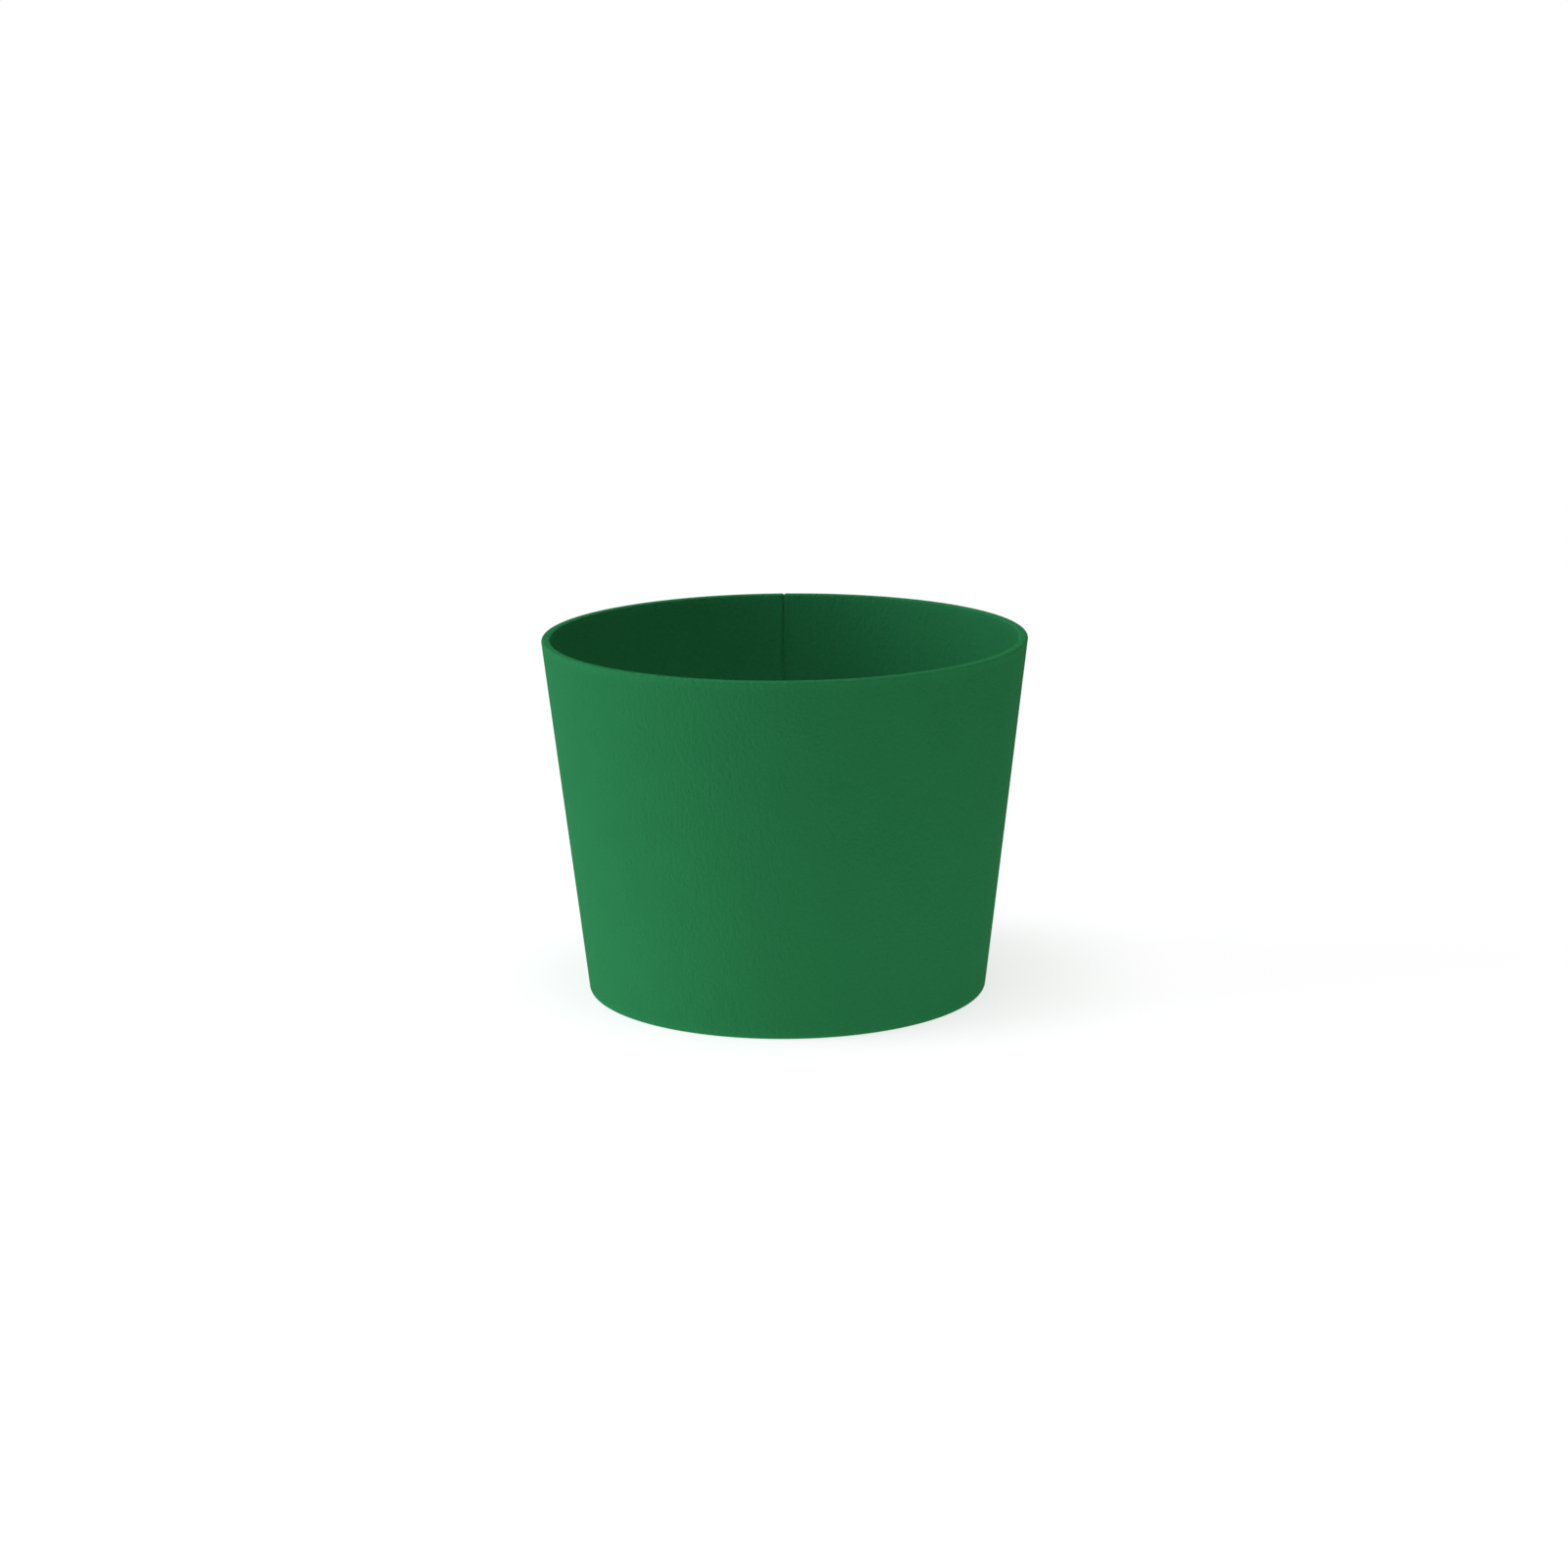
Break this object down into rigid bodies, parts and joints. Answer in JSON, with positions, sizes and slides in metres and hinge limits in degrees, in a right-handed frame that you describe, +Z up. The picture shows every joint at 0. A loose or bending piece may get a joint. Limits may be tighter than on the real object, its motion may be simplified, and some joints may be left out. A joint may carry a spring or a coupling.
{
  "type": "foam cup sleeve",
  "caption": "Tapered open band of matt green foam that slips over a hot drink's paper beaker to keep the hand cool.",
  "frame": {"origin": "centre of the narrow rim, on the plane that the sleeve stands on", "axes": "+Z up along the cone's axis towards the wide rim; -Y is the front in the picture and +Y the back, where the fused seam is"},
  "size_m": [0.0808, 0.0808, 0.06],
  "materials": {
    "green_foam": "matt closed-cell polyethylene foam, mid green all through, with a fine grain and soft cut edges"
  },
  "bodies": {
    "root": {"foam_sleeve": "green_foam"}
  },
  "joints": []
}
